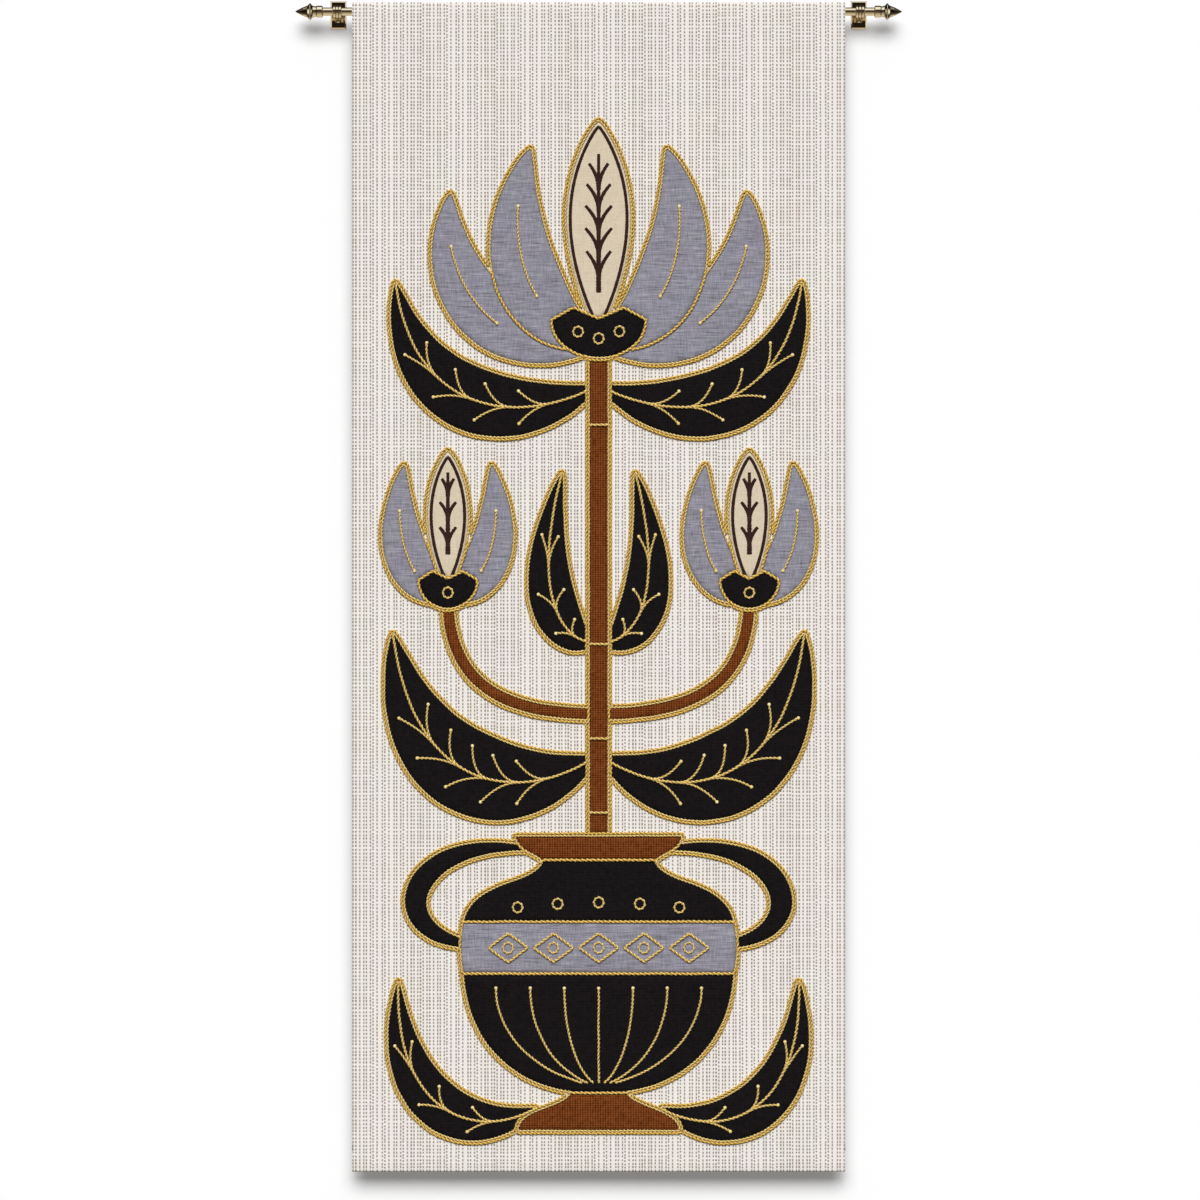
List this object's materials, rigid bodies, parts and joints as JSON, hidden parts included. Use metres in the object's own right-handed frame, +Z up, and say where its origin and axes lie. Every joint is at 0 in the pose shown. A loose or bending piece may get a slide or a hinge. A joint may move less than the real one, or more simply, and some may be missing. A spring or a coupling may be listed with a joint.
{
  "type": "appliqué wall hanging with its rod and wall brackets",
  "caption": "Tall ivory cloth hanging on a brass rod between wall brackets, with an appliquéd urn of flowers in black, grey, cream and brown, edged with gold cord.",
  "frame": {"origin": "middle of the hem across the width, half way through the depth of the whole piece, at the height of the hem's lowest edge", "axes": "+X to the right seen from the front, along the rod; +Y away from the viewer, towards the wall; +Z up"},
  "size_m": [0.8866, 0.0476, 1.7138],
  "materials": {
    "ground_cloth": "ivory cloth woven with fine taupe dots in upright lines, matt",
    "black_twill": "black cloth with a fine close weave, matt",
    "grey_linen": "lavender grey linen with darker level slubs, matt",
    "cream_cloth": "cream plain weave, matt",
    "brown_twill": "chestnut brown twill with fine dark checks, matt",
    "gold_cord": "twisted gold cord with a soft metallic sheen",
    "brown_stitching": "dark brown satin stitches with a silky sheen",
    "brass": "polished brass"
  },
  "bodies": {
    "root": {"ground_cloth": "ground_cloth", "rod": "brass", "finial_left": "brass", "finial_right": "brass", "bracket_plate_left": "brass", "bracket_plate_right": "brass", "bracket_arm_left": "brass", "bracket_arm_right": "brass", "bracket_screw_left": "brass", "bracket_screw_right": "brass", "urn_foot": "brown_twill", "urn_bowl": "black_twill", "urn_band": "grey_linen", "urn_shoulder": "black_twill", "urn_lip": "brown_twill", "urn_handle_left": "black_twill", "urn_handle_right": "black_twill", "urn_cord": "gold_cord", "stem": "brown_twill", "stem_left": "brown_twill", "stem_right": "brown_twill", "stem_cord": "gold_cord", "leaf_foot_left": "black_twill", "leaf_foot_right": "black_twill", "leaf_foot_left_cord": "gold_cord", "leaf_foot_right_cord": "gold_cord", "leaf_low_left": "black_twill", "leaf_low_right": "black_twill", "leaf_low_left_cord": "gold_cord", "leaf_low_right_cord": "gold_cord", "leaf_middle_left": "black_twill", "leaf_middle_right": "black_twill", "leaf_middle_left_cord": "gold_cord", "leaf_middle_right_cord": "gold_cord", "leaf_high_left": "black_twill", "leaf_high_right": "black_twill", "leaf_high_left_cord": "gold_cord", "leaf_high_right_cord": "gold_cord", "flower_left_cup": "black_twill", "flower_left_middle": "cream_cloth", "flower_left_outer": "grey_linen", "flower_left_inner": "grey_linen", "flower_left_cord": "gold_cord", "flower_right_cup": "black_twill", "flower_right_middle": "cream_cloth", "flower_right_outer": "grey_linen", "flower_right_inner": "grey_linen", "flower_right_cord": "gold_cord", "flower_top_cup": "black_twill", "flower_top_middle": "cream_cloth", "flower_top_inner_left": "grey_linen", "flower_top_inner_right": "grey_linen", "flower_top_outer_left": "grey_linen", "flower_top_outer_right": "grey_linen", "flower_top_cord": "gold_cord"}
  },
  "joints": []
}
